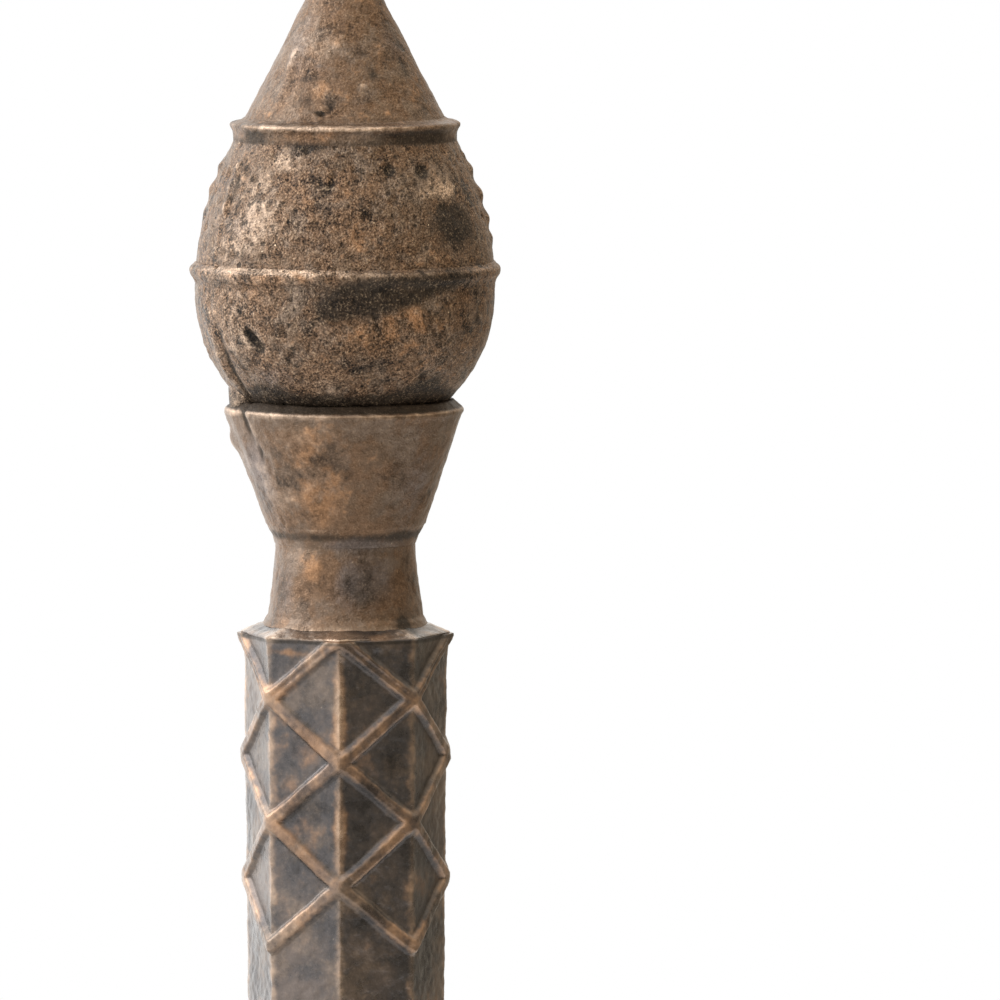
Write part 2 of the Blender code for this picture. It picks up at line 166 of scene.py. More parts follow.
# The strips reach up this far under the lip. Their edges are rounded, they wander a little, they are rubbed
# bare and warm, and a groove along them ends this many half bays down.
LIP_GAP = 1.2 * MM
STRIP_ROUNDING = 0.85 * MM
STRIP_SKIRT = 0.35 * MM
STRIP_WANDER = 0.14 * MM
WANDER_SIZE = 5 * MM
STRIP_WEAR = 0.42
STRIP_WARMTH = 0.60
GROOVE_WIDTH = 0.3 * MM
GROOVE_DEPTH = 0.22
GROOVE_END = 1.6

# Lip on the shaft: the radius where its top begins to slope, and how high its edge stands over the shaft
LIP_TOP_RADIUS = 15.6 * MM
LIP_EDGE_HEIGHT = 1.5 * MM

# Neck and collar. The foot of the neck is (mm out from its radius, mm up), and the rim of the collar is
# (mm in from its radius, mm below its top).
WAIST_RADIUS = 12.65 * MM
NECK_SPREAD = 1.55 * MM
NECK_CURVE = 1.4
NECK_FOOT = ((-0.3, 1.0), (-0.1, 0.5), (0.2, 0))
COLLAR_RIM = ((1.75, 0), (0.25, 1.35), (0, 1.7), (0.05, 2.2), (0.45, 3.0))

# Bulb, with the bead round it in the same form as the rim of the collar
BULB_RADIUS = 27.1 * MM
SHOULDER_ARC_RADIUS = 52.2 * MM
BULB_CENTRE_ABOVE_COLLAR = 19.5 * MM
SHOULDER_FILLET = 0.65 * MM
SHOULDER_FILLET_HEIGHT = 9.0 * MM
BELT_BEAD = ((0.75, 0.35), (0.30, 0.70), (0.04, 1.15), (0, 1.6), (0.14, 2.1), (0.45, 2.6), (0.78, 3.1))

# Spire, with the bead of the ring at its foot in that form too
SPIRE_TIP_RADIUS = 4.0 * MM
SPIRE_TIP_ROUNDING = 0.3 * MM
RIM_BEAD = ((1.3, 0.50), (0.5, 0.70), (0.1, 0.95), (0, 1.3), (0.2, 1.75), (0.5, 2.3), (0.6, 3.0))

# Finial: each bead from top to bottom as (share of its radius, share of its height), and how far in the flat
# top of a bead starts
BALL = ((0.57, 1), (0.67, 0.93), (0.91, 0.78), (0.99, 0.62), (0.93, 0.46), (0.76, 0.3))
BALL += ((0.62, 0.17), (0.6, 0))
TEARDROP = ((0.27, 1), (0.33, 0.87), (0.51, 0.68), (0.745, 0.5), (0.945, 0.38))
TEARDROP += ((0.99, 0.29), (0.87, 0.2), (0.7, 0.11), (0.56, 0))
DISC = ((0.42, 1), (0.72, 0.85), (0.93, 0.76), (0.99, 0.67), (0.79, 0.44), (0.54, 0.2), (0.38, 0))
KNOB = ((0.64, 1), (0.83, 0.83), (0.97, 0.65), (0.99, 0.54), (0.92, 0.4), (0.68, 0.3))
KNOB += ((0.43, 0.26), (0.42, 0))
BEAD_TOP_SHARE = 0.4

# Spilt metal in the notch under the bulb: where it sits, and its half width, half depth and half height
FLASH_AZIMUTH = -74
FLASH_RADIUS = 19.0 * MM
FLASH_HEIGHT = 240.6 * MM
FLASH_SIZE = (4.2 * MM, 2.3 * MM, 6.5 * MM)

# Crescent: sizes in shares of its outer radius, the angles of its gap and of its rounded tips, its thickness
# at the bottom and at the tips, how far it keeps inside its solid, and its round foot as (mm out, mm up)
CRESCENT_HOLE_SHARE = 0.66
CRESCENT_RISE_SHARE = 0.224
CRESCENT_TIP_ANGLE = math.radians(13)
CRESCENT_CLOSING = 0.05
CRESCENT_DEPTH = 3.5 * MM
CRESCENT_TIP_DEPTH = 1.6 * MM
CRESCENT_INSET = 0.1 * MM
CRESCENT_TOP_INSET = 0.15 * MM
CRESCENT_FOOT_TOP = 1 * MM
CRESCENT_FOOT = ((2.2, 2.9), (2.75, 2.4), (2.95, 1.6), (2.8, 0.6), (2.5, 0))
CRESCENT_STEPS = 200
CRESCENT_COLUMNS = 40

# Camera: where it stands round the minaret, how far off, and how it is aimed, in degrees
CAMERA_DISTANCE = 2.0
CAMERA_AZIMUTH = 3.4
CAMERA_RISE = 3.6
CAMERA_PITCH = 4.778
FRAME_LEFT_OF_AXIS = 0.80
CAMERA_LENS = 400

# Light: the surroundings are brightest and nearly white towards one side, and dimmest and warm away from it,
# with more light from overhead and from behind. A spread says where a light starts and where it is full, from
# -1 straight away from its side to 1 straight at it.
FLOOR_RADIUS = 0.4
BRIGHT_SIDE = (-1.0, 0.15, 0.35)
BRIGHT_SPREAD = (-0.65, 0.60)
BRIGHTEST = 1.45
DIMMEST = 0.35
OVERHEAD = 0.75
OVERHEAD_SPREAD = (-0.05, 0.85)
BACK_SIDE = (-0.62, 0.78, 0.0)
BACK_SPREAD = (0.6, 1.0)
BACK_LEVEL = 0.4
WARM_TINT = (1.0, 0.86, 0.66)
COOL_TINT = (1.0, 0.995, 0.98)
WINDOW_PLACE = (-0.9, 0.0, 0.75)
WINDOW_AIM = (0, 0, 0.2)
WINDOW_SIDE = 0.8
WINDOW_POWER = 5

# Places on the castings: azimuth, height, size round and up in mm, and strength. An azimuth of None is all
# round. NUBS, SEAM and PITS have their strength in mm, and a warm place of less than 0 is a cold one.
NUBS = (
    (91, 280.2, 1.5, 1.4, 0.75),
    (91, 275.8, 1.6, 1.5, 0.8),
    (91, 271.4, 1.5, 1.4, 0.7),
    (91, 267.8, 1.4, 1.2, 0.5),
    (-85, 280.6, 1.3, 1.3, 0.7),
    (-86, 276.6, 1.4, 1.3, 0.7),
    (-87, 272.4, 1.2, 1.3, 0.35),
)
SEAM = (
    (-57, 281, 0.8, 1, 0.6),
    (-57.5, 277.6, 0.8, 1.2, 0.55),
    (-57, 274, 0.8, 1.2, 0.55),
    (-58, 270.2, 0.7, 1.3, 0.4),
    (-58, 266.6, 0.7, 1.3, 0.35),
    (-68, 234.5, 2.4, 3.2, 0.4),
    (-64, 229.5, 1.8, 3.4, 0.35),
    (-83, 231.4, 2.6, 2, 1.1),
    (-80, 228, 4, 6, 0.35),
    (-82, 235.6, 3, 2, 0.5),
    (-56, 250.5, 0.8, 2.6, -0.25),
    (-55.5, 246.3, 0.8, 2.4, -0.35),
    (-56, 241.5, 0.8, 2.6, -0.5),
    (-56, 236.6, 0.8, 2.4, -0.45),
    (-54.5, 232.8, 0.8, 2, -0.35),
    (-50, 229.6, 0.7, 1.8, -0.25),
    (-45, 226.8, 0.7, 1.6, -0.2),
    (-63, 251, 1.6, 4, 0.3),
    (-62, 244.5, 1.6, 3.5, 0.4),
    (-45, 300.5, 1, 3, 0.3),
    (-44, 295, 1, 3, 0.25),
)
PITS = (
    (-38, 251.6, 0.85, 0.85, -0.9),
    (-35.8, 250.5, 0.9, 0.9, -1.1),
    (-33.6, 249.3, 0.9, 0.85, -0.9),
    (-16, 284.3, 0.6, 0.6, -0.6),
    (24.6, 280.9, 0.95, 0.8, -0.65),
    (41.7, 280.6, 1, 0.9, -0.7),
    (-41.7, 279.2, 0.6, 0.5, -0.45),
    (8, 281, 0.4, 0.4, -0.35),
    (24.4, 275.4, 0.55, 0.5, -0.35),
    (-54, 279, 0.5, 0.8, -0.45),
    (-54.5, 275, 0.5, 0.8, -0.45),
    (-46, 274.2, 0.9, 0.7, -0.35),
    (-55, 263.5, 0.6, 0.5, -0.4),
    (-11.3, 290.7, 0.8, 0.3, -0.55),
    (-34, 283.4, 0.6, 0.4, -0.4),
)

# Small pits and lumps from a seeded draw, with their depth and height in shares of their size
SCATTERED_MARKS = 320
SCATTER_SEED = 11
SCATTER_HEIGHTS = (243, 285)
SCATTER_SIZES = (0.4, 0.9)
SCATTERED_PIT = -0.45
SCATTERED_LUMP = 0.30

# Soot and shade: dark patches of patina and dirt, and painted shade in the notch under the bulb and down the
# right side of the shaft
SOOT_AND_SHADE = (
    (54.5, 271, 5.6, 4.2, 1.25),
    (24.6, 280.9, 1.2, 1.2, 1.4),
    (41.7, 280.6, 1.3, 1.5, 1.5),
    (-2, 281.4, 2.6, 1.2, 0.6),
    (-16, 284.3, 0.7, 0.6, 0.9),
    (-38, 251.5, 0.95, 0.95, 1.7),
    (-35.8, 250.3, 1.1, 1.1, 2),
    (-33.6, 249.2, 1, 0.95, 1.7),
    (-53, 278, 0.9, 4.5, 0.5),
    (12, 258.4, 7.5, 3.3, 1.15),
    (-2, 256.2, 3.6, 2.2, 0.9),
    (30, 260, 7, 2.6, 0.95),
    (48, 261.8, 5, 2, 0.7),
    (8, 269.5, 4.5, 2.2, 0.35),
    (10, 247.5, 7, 3, 0.45),
    # Dirt and painted shade in the notch under the bulb
    (-40, 240.8, 5, 1.8, 0.9),
    (45, 241.6, 5, 2.8, 1),
    (-56, 245, 0.8, 4.5, 0.7),
    (-56, 236.5, 0.8, 3, 0.8),
    (-50, 229.6, 0.8, 2, 0.5),
    (34, 287, 6, 1, 0.75),
    (55, 287, 6, 1.4, 0.7),
    (-50, 286.8, 4, 1.2, 0.8),
    (-16, 284.7, 3, 0.6, 0.9),
    (-11.3, 291, 1, 0.4, 1.2),
    (-24, 297, 2.6, 1, 0.6),
    (-22, 293.2, 2.2, 2.4, 0.5),
    (56, 298.5, 1.8, 2.2, 0.55),
    (25, 298, 1.2, 2.2, 0.6),
    (14, 205, 3.6, 3, 0.35),
    (34, 220, 4, 5, 0.35),
    # Painted shade down the right side of the shaft
    (64, 176, 7, 40, 0.4),
    (49.5, 198.4, 1.6, 1.3, 1.3),
    (None, 285.6, 1, 0.7, 0.45),
    (None, 289.8, 1, 0.5, 0.3),
    # Dirt and painted shade in the notch under the bulb, on the bevel and the ledge of the collar
    (None, 239.8, 1, 1.5, 0.8),
    (None, 238.3, 1, 0.9, 1.9),
    (None, 214.6, 1, 1, 0.6),
    (None, 195.9, 1, 0.4, 0.8),
    (None, 38.4, 1, 0.9, 0.6),
    (None, 33, 1, 0.7, 0.6),
    (None, 29, 1, 0.6, 0.5),
    (None, 11.5, 1, 0.7, 0.6),
    (None, 6.2, 1, 0.6, 0.6),
    (None, 317, 1, 0.9, 0.6),
    (None, 331, 1, 0.9, 0.6),
    (None, 356.6, 1, 0.7, 0.6),
    (None, 364.2, 1, 1.2, 0.5),
    (None, 377.3, 1, 0.9, 0.5),
)
WARM_PLACES = (
    (-25, 261.9, 12, 1.3, 1),
    (-15, 223.5, 2.8, 7, 1.5),
    (-22, 208.4, 2.6, 2.8, 1.5),
    (-2, 222, 3, 5, 0.5),
    (18, 206.5, 7, 5, -0.95),
    (52, 224, 5, 8, -0.5),
    (-58, 226, 5, 8, -0.7),
    (-52, 204, 3.5, 6, -0.5),
    (10, 213.5, 8, 1.6, -0.8),
    (-44, 270, 6, 5, -0.4),
    (56, 303, 4, 6, -0.5),
    (-30, 303, 7, 8, -0.5),
    (-30, 244, 6, 3, -0.5),
    (-4, 230, 6, 4, 0.5),
    (7.3, 268.6, 3, 2.5, 0.7),
    (10, 279, 8, 4, 0.3),
    (28.9, 254, 3.6, 4, 1),
    (5, 252, 9, 5, 0.5),
    (44, 249, 3, 5, 0.8),
    (-40, 187, 5, 2, 0.6),
    (0, 184.5, 1.1, 6, 1.3),
    (0, 162, 1.1, 5, 1.1),
    (-22, 177, 5, 4, 0.55),
    (-25, 160, 5, 8, 0.5),
    (-32, 194, 4, 0.7, 0.8),
    (23.6, 196.6, 2.6, 0.6, 1.2),
    (-4, 196.8, 1.6, 0.8, 1.2),
    (-8, 286.8, 7, 1.2, 0.9),
    (-6, 309, 3, 4, 0.7),
    (-13, 303.5, 3.4, 2.8, 0.8),
    (-14, 295, 2.6, 1.5, 0.8),
    (36, 302.5, 1.6, 1.6, 0.8),
)
# Bare metal and painted highlights: rubbed places, and pale patches and lines painted where light falls,
# mostly on the left side of the bulb, along the top edges of the belt and the rim, and on the top of the lip
BARE_AND_HIGHLIGHT_PLACES = (
    (-27, 282.4, 3.5, 2.4, 0.7),
    (-39, 277.5, 4, 3, 0.55),
    (-32, 272, 6.5, 3.6, 0.7),
    (-46, 267.5, 6, 3.2, 0.65),
    (54, 277.2, 3.6, 1.7, 1.3),
    (42, 276.6, 3, 1, 0.7),
    (0, 184.5, 0.9, 5.5, 0.5),
    (0, 162, 0.9, 5, 0.4),
    (-25, 263.1, 13, 0.45, 1.8),
    (-5, 288.4, 12, 0.5, 1.2),
    (-20, 197.4, 10, 1.3, 0.9),
    (-48, 253.5, 9, 6.5, 0.55),
    (-8, 242.4, 2.6, 1.8, 0.6),
    (None, 236.9, 1, 0.35, 0.1),
    (-14, 226, 4.5, 7, 0.35),
    (-30, 233, 8, 3, 0.3),
    (-34, 261.4, 15, 0.9, 0.6),
    (None, 262.6, 1, 0.5, 0.3),
    (None, 288.2, 1, 0.5, 0.4),
    (None, 196.9, 1, 0.5, 0.5),
    (-50, 222, 6, 9, 0.5),
    (-36, 302, 6, 9, 0.35),
    (-14, 303, 3.4, 2.8, 0.35),
    (-15, 295.2, 2.4, 1.4, 0.35),
    (16, 295.8, 0.6, 0.5, 1.2),
)


def length(name, description, value):
    """A size that the panel shows."""
    return FloatProperty(name=name, description=description, default=value, precision=5, unit="LENGTH")


def colour(name, description, value):
    """A colour that the panel shows."""
    return FloatVectorProperty(name=name, description=description, default=value, subtype="COLOR")


class MinaretSizes(bpy.types.PropertyGroup):
    """Relief of the castings"""

    strip_width: length("Strip width", "Width of a raised strip of the lattice", 2.5 * MM)
    strip_relief: length("Strip relief", "How far a strip of the lattice stands out of the shaft", 0.9 * MM)
    unevenness: length("Unevenness", "How far a casting waves in and out over about a centimetre", 0.18 * MM)
    roughness: length("Roughness", "Depth of the lumps of about a millimetre", 0.10 * MM)
    grain: length("Grain", "Size of the grains that the casting sand has left", 0.37 * MM)


class MinaretColours(bpy.types.PropertyGroup):
    """Colours of the patina"""

    brown: colour("Brown", "Brown patina that covers most of the upper castings", (0.25, 0.150, 0.090))
    umber: colour("Umber", "Darker, greyer brown in the patches between the brown", (0.130, 0.088, 0.060))
    slate: colour("Slate", "Cold dark grey of the shaft", (0.094, 0.087, 0.089))
    ash: colour("Ash", "Browner patches of the shaft", (0.112, 0.091, 0.081))
    orange: colour("Orange", "Warm metal that shows through the patina", (0.40, 0.215, 0.108))
    # Pale metal of the rubbed places, also the colour of the painted highlights
    bare_and_highlight: colour("Bare", "Pale metal of the rubbed places", (0.58, 0.43, 0.32))
    film: colour("Film", "Thin grey film over the brown", (0.185, 0.142, 0.112))
    bloom: colour("Bloom", "Cold grey-violet bloom on the cool places", (0.150, 0.128, 0.124))
    # Painted highlight: the lit sides of the sand grains, painted in a paler colour
    painted_glint: colour("Glint", "Bright sides of the sand grains", (0.56, 0.43, 0.30))
    # Painted glints: single grains painted bright
    painted_spark: colour("Spark", "Single bright grains", (0.90, 0.72, 0.52))
    # Soot of the pits and crevices, also the colour of the painted shade
    soot_and_shade: colour("Soot", "Dark dirt in the pits and crevices", (0.027, 0.020, 0.014))
    floor: colour("Floor", "Pale floor", (0.64, 0.64, 0.64))


class Socket:
    """An output of a shader node. Arithmetic on it adds Math nodes."""

    def __init__(self, nodes, output):
        self.nodes = nodes
        self.output = output

    def maths(self, operation, first, second):
        return self.nodes.add("ShaderNodeMath", {"operation": operation}, {0: first, 1: second})

    def __add__(self, other):
        return self.maths("ADD", self, other)

    __radd__ = __add__

    def __sub__(self, other):
        return self.maths("SUBTRACT", self, other)

    def __rsub__(self, other):
        return self.maths("SUBTRACT", other, self)

    def __mul__(self, other):
        return self.maths("MULTIPLY", self, other)

    __rmul__ = __mul__


class Nodes:
    """The shader nodes of a material or of the world."""

    def __init__(self, owner):
        owner.use_nodes = True
        self.tree = owner.node_tree
        self.tree.nodes.clear()

    def add(self, kind, settings=None, inputs=None, output=0):
        """Adds a node with its settings and the values or links of its inputs. Returns one of its outputs."""
        node = self.tree.nodes.new(kind)
        for name, value in (settings or {}).items():
            setattr(node, name, value)
        for key, value in (inputs or {}).items():
            if isinstance(value, Socket):
                self.tree.links.new(value.output, node.inputs[key])
            else:
                node.inputs[key].default_value = value
        return Socket(self, node.outputs[output]) if node.outputs else None

    def mark(self, name):
        """A number that the mesh holds at each point."""
        settings = {"attribute_type": "GEOMETRY", "attribute_name": name}
        return self.add("ShaderNodeAttribute", settings, output="Fac")

    def clouds(self, size, detail=3.0, roughness=0.55):
        """Noise with blobs of this size, mostly between 0.3 and 0.7."""
        place = self.add("ShaderNodeTexCoord", output="Object")
        inputs = {"Vector": place, "Scale": 1 / size, "Detail": detail, "Roughness": roughness}
        return self.add("ShaderNodeTexNoise", None, inputs)

    def dots(self, size):
        """Distance to the nearest of many scattered points, 0 at the point, in parts of their spacing."""
        place = self.add("ShaderNodeTexCoord", output="Object")
        return self.add("ShaderNodeTexVoronoi", None, {"Vector": place, "Scale": 1 / size})

    def rise(self, value, low, high):
        """0 below low, 1 above high, and a smooth rise between them. It falls where high is below low."""
        ends = (0.0, 1.0) if low < high else (1.0, 0.0)
        inputs = {0: value, 1: min(low, high), 2: max(low, high), 3: ends[0], 4: ends[1]}
        return self.add("ShaderNodeMapRange", {"interpolation_type": "SMOOTHSTEP"}, inputs)

    def mix(self, first, second, share):
        """A colour between two others."""
        colours = [tone if isinstance(tone, Socket) else (*tone, 1.0) for tone in (first, second)]
        inputs = {0: share, 6: colours[0], 7: colours[1]}
        return self.add("ShaderNodeMix", {"data_type": "RGBA"}, inputs, output=2)


def patina(name, tones, patch, grain=1.0, mottle=1.0, lumps=1.0, pores=1.0, wear=1.0, gloss=0.0, coat=0.15):
    """Patinated bronze. tones are the two colours that cover most of it, in patches of this size. grain,
    mottle, lumps, wear, and pores with stains, say how much of each it shows, gloss how much smoother than
    the bulb it is, and coat how much wax lies on it."""
    colours = bpy.context.scene.minaret_colours
    material = bpy.data.materials.new(name)
    nodes = Nodes(material)
    crest = nodes.mark("crest") * wear
    broad = nodes.clouds(patch * 2.8, detail=2.0)
    middle = nodes.clouds(patch, detail=3.0, roughness=0.7)
    film = nodes.clouds(patch * 1.5, detail=4.0, roughness=0.68)
    speckle = nodes.clouds(SPECKLE_SIZE, detail=2.0, roughness=0.75)
    sand = nodes.clouds(bpy.context.scene.minaret_sizes.grain, detail=1.0, roughness=0.7)
    fine = (speckle - 0.5) * (0.25 + 0.75 * grain)
    ragged = (middle - 0.5) * 1.3 + fine * 0.4

    # Colours over each other: the ground, warm metal, film, bloom, dirt with painted shade, stains, and
    # rubbed places with painted highlights
    tone = nodes.mix(*tones, nodes.rise(broad * 0.4 + middle * 0.5 + fine * 0.1, 0.37, 0.52))
    warm = nodes.rise(broad * -0.3 + middle * 0.8 + fine * 0.2, 0.22, 0.46) * mottle
    warm = nodes.rise(warm * 0.42 + nodes.mark("warm") * 0.9 + ragged * 0.6, 0.20, 1.10)
    tone = nodes.mix(tone, colours.orange, warm * 0.72)
    grey = nodes.rise(film + fine * 0.1, 0.47, 0.62)
    tone = nodes.mix(tone, colours.film, grey * 0.6)
    cool = nodes.rise(nodes.mark("warm") * -1.0 + ragged * 0.5, 0.15, 0.80)
    tone = nodes.mix(tone, colours.bloom, cool * 0.75)
    # Dirt and painted shade: soot marks and darkened hollows, partly dirt and partly painted shade, such as
    # the shadow beside the lattice strips and in the notch under the bulb
    dirt_and_shade = nodes.rise(nodes.mark("soot_and_shade") * 1.3 - nodes.mark("crest") * 2.0 + ragged * 0.9, 0.22, 1.00)
    tone = nodes.mix(tone, colours.soot_and_shade, dirt_and_shade * 0.85)
    stain = nodes.rise(film * -0.5 + middle * 0.9 + fine * 0.4, 0.18, 0.05)
    tone = nodes.mix(tone, colours.soot_and_shade, stain * (0.42 * pores))
    # Rubbed places and painted highlights: worn crests and bare metal, and the pale marks that stand in for
    # light
    rubbed_and_highlight = nodes.rise(crest * 2.6 + nodes.mark("bare_and_highlight") * 0.9 + ragged * 0.7, 0.20, 1.25)
    tone = nodes.mix(tone, colours.bare_and_highlight, rubbed_and_highlight * 0.75)

    # Light and dark, then painted highlights on the grains, pores, burst bubbles and painted glints of single
    # grains
    clouded = ((middle - 0.5) * 1.8 + (broad - 0.5) * 1.5) * mottle
    grainy = fine * 1.6 + (sand - 0.5) * (2.5 * grain)
    brightness = nodes.rise(clouded + grainy + 1.0, -0.2, 2.2) * 2.0
    tone = nodes.add("ShaderNodeVectorMath", {"operation": "SCALE"}, {0: tone, 3: brightness})
    # Painted highlights on the lit sides of the sand grains
    painted_glint = nodes.rise(sand * 0.7 + speckle * 0.3, 0.54, 0.70) * (0.40 * grain)
    tone = nodes.mix(tone, colours.painted_glint, painted_glint)
    pore = nodes.rise(nodes.dots(PORE_SPACING) + (speckle - 0.5) * 0.9, 0.26, 0.10)
    pore = pore * nodes.rise(broad * 0.5 + middle * 0.5, 0.47, 0.55) * pores
    tone = nodes.mix(tone, colours.soot_and_shade, pore * 0.75)
    bubble = nodes.dots(BUBBLE_SPACING) + (speckle - 0.5) * 0.35
    rim = nodes.rise(bubble, 0.34, 0.25) * nodes.rise(bubble, 0.15, 0.24)
    rim = rim * nodes.rise(film, 0.50, 0.42) * pores
    tone = nodes.mix(tone, colours.soot_and_shade, rim * 0.45)
    # Painted glints: single bright grains painted over the tone
    painted_spark = nodes.rise(nodes.dots(PAINTED_SPARK_SPACING), 0.075, 0.045) * nodes.rise(speckle, 0.52, 0.60) * grain
    tone = nodes.mix(tone, colours.painted_spark, painted_spark)

    relief = sand * (0.30 * grain) + fine * 0.28 + middle * (0.40 * lumps) - pore * 0.25 - rim * 0.15
    shader = {
        "Base Color": tone,
        "Metallic": 0.85 - dirt_and_shade * 0.15,
        "Roughness": 0.48 - gloss + (middle - 0.5) * 0.35 + fine * 0.3 - rubbed_and_highlight * 0.06 + dirt_and_shade * 0.20,
        "Normal": nodes.add("ShaderNodeBump", None, {"Strength": 1.0, "Distance": MM, "Height": relief}),
        "Coat Weight": coat,
        "Coat Roughness": 0.35,
    }
    surface = nodes.add("ShaderNodeBsdfPrincipled", None, shader)
    nodes.add("ShaderNodeOutputMaterial", None, {"Surface": surface})
    return material


# Patina of each slot: its two main tones, the size of its patches in mm, and what differs from plain bronze
BROWN = ("brown", "umber")
SLATE = ("slate", "ash")
PATINAS = {
    "foot_bronze": (
        SLATE,
        8,
        dict(grain=0.2, mottle=0.6, lumps=0.6, pores=0.2, wear=0.35, gloss=0.12, coat=0.4),
    ),
    "shaft_bronze": (
        SLATE,
        7,
        dict(grain=0.1, mottle=0.8, lumps=0.5, pores=0.0, wear=0.2, gloss=0.17, coat=0.4),
    ),
    "collar_bronze": (BROWN, 5.5, dict(grain=0.25, mottle=1.1, lumps=0.4, pores=0.2, gloss=0.05)),
    "bulb_bronze": (BROWN, 3.3, dict(mottle=1.15, lumps=1.2)),
    "spire_bronze": (BROWN, 4, dict(grain=0.45, mottle=1.3, lumps=1.6, pores=0.4)),
    "finial_bronze": (BROWN, 3.3, dict(grain=0.4, pores=0.4, gloss=0.05)),
}


def bronze(slot):
    """The material of one of the record's slots, made when it is first asked for."""
    name = "patina_of_" + slot
    if name in bpy.data.materials:
        return bpy.data.materials[name]
    colours = bpy.context.scene.minaret_colours
    tones, patch, shares = PATINAS[slot]
    return patina(name, [getattr(colours, tone) for tone in tones], patch * MM, **shares)


def top_of(node):
    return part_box(node)[1].z


def foot_of(node):
    """Height where a casting stands on the one below it, a little sunk in, which closes their joint."""
    place = STACK.index(node)
    return top_of(STACK[place - 1]) - SINK if place else 0.0


def radius_of(node):
    low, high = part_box(node)
    return (high.x - low.x) / 2


def fractal(points, size):
    """Smooth noise of about -1 to 1 at each point, with lumps of this size."""
    flat = points.reshape(-1, 3) / size
    values = [noise.fractal(Vector(p), 1.0, 2.0, 2) for p in flat]
    return np.array(values).reshape(points.shape[:-1])


def turn_from(azimuth, degrees):
    """Angle from a direction in degrees, in radians from -pi to pi."""
    return (azimuth - math.radians(degrees) + math.pi) % (2 * math.pi) - math.pi


def marks_at(marks, azimuth, height, radius):
    """The sum of soft marks, each (azimuth, height, size round, size up, strength) with its sizes in mm."""
    total = np.zeros(np.broadcast_shapes(azimuth.shape, height.shape))
    for degrees, level, across, up, strength in marks:
        round_way = 0.0 if degrees is None else turn_from(azimuth, degrees) * radius / (across * MM)
        up_way = (height - level * MM) / (up * MM)
        total = total + strength * np.exp(-(round_way**2) - up_way**2)
    return total


def scattered_marks():
    """Small pits and lumps of the bulb, from a seeded draw."""
    draw = np.random.default_rng(SCATTER_SEED)
    marks = []
    for number in range(SCATTERED_MARKS):
        size = draw.uniform(*SCATTER_SIZES)
        strength = SCATTERED_PIT if number % 2 else SCATTERED_LUMP
        marks.append((draw.uniform(-180, 180), draw.uniform(*SCATTER_HEIGHTS), size, size, strength * size))
    return tuple(marks)


def directions(points):
    """Outward direction at each point of a grid whose rows run down and whose columns run round."""
    down = np.gradient(points, axis=0)
    along = np.roll(points, -1, 1) - np.roll(points, 1, 1)
    outward = np.cross(down, along)
    return outward / np.maximum(np.linalg.norm(outward, axis=-1, keepdims=True), 1e-12)


def softened(points, passes):
    """The grid averaged over its neighbours again and again."""
    for _ in range(passes):
        points = (np.roll(points, 1, 1) + points + np.roll(points, -1, 1)) / 3
        padded = np.pad(points, ((1, 1), (0, 0), (0, 0)), mode="edge")
        points = (padded[:-2] + padded[1:-1] + padded[2:]) / 3
    return points


def square_faces(rows, columns):
    """Four-sided faces of a grid that closes on itself sideways, seen from outside."""
    index = np.arange(rows * columns).reshape(rows, columns)
    beside = np.roll(index, -1, 1)
    faces = np.stack([index[:-1], index[1:], beside[1:], beside[:-1]], -1)
    return faces.reshape(-1, 4).tolist()


def diamond_faces(levels, columns):
    """Triangles on every other point of a grid, so that edges run both ways along the lattice. levels numbers
    the rows, and a point is used where its level and column add up to an even number."""
    rows = len(levels)
    index = np.arange(rows * columns).reshape(rows, columns)
    left = np.roll(index, 1, 1)
    right = np.roll(index, -1, 1)
    odd = (np.asarray(levels)[:, None] + np.arange(columns)) % 2 == 1
    above = np.roll(index, 1, 0)
    below = np.roll(index, -1, 0)
    inner = odd.copy()
    inner[0] = inner[-1] = False
    first = odd.copy()
    first[1:] = False
    last = odd.copy()
    last[:-1] = False
    parts = (
        (above, left, below, inner),
        (above, below, right, inner),
        (left, below, right, first),
        (above, left, right, last),
    )
    return np.concatenate([np.stack([a[m], b[m], c[m]], -1) for a, b, c, m in parts]).tolist()


